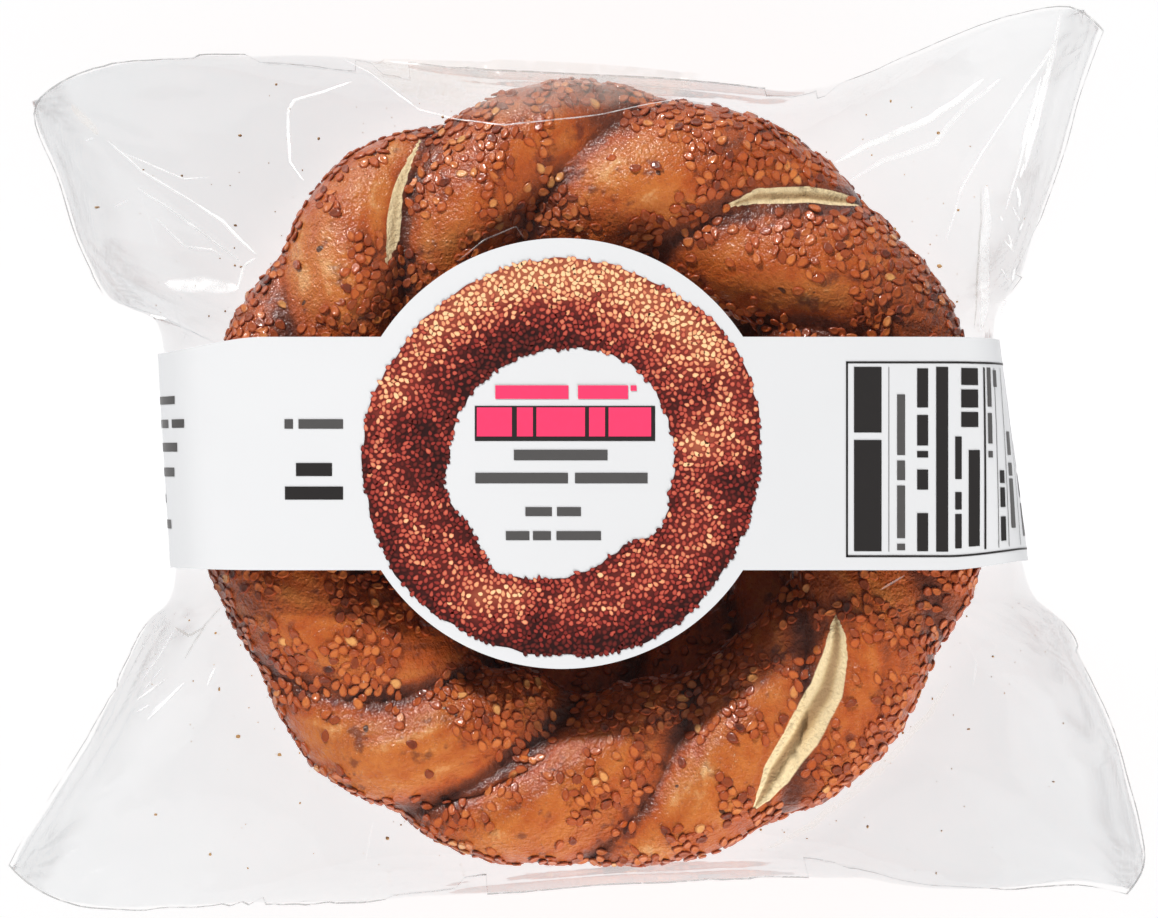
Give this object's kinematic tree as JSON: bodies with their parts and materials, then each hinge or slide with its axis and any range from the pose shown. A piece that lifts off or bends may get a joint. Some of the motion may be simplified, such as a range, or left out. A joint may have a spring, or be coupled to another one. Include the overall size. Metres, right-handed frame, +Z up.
{
  "type": "bagged sesame bread rings",
  "caption": "Clear sealed bag holding a stack of twisted sesame bread rings, held flat by a printed band with a disc on its front.",
  "frame": {"origin": "on the axis of the stack of rings, on the surface that the pack lies on", "axes": "+Z up, out of the pack's shown side; +X along the band, from one end seal of the bag to the other; +Y across the band"},
  "size_m": [0.2408, 0.1881, 0.1048],
  "materials": {
    "clear_bag_of_simits": "clear gloss film over browned bread",
    "printed_band": "satin printed paper"
  },
  "bodies": {
    "root": {"clear_bag_of_simits": "clear_bag_of_simits", "printed_band": "printed_band"}
  },
  "joints": []
}
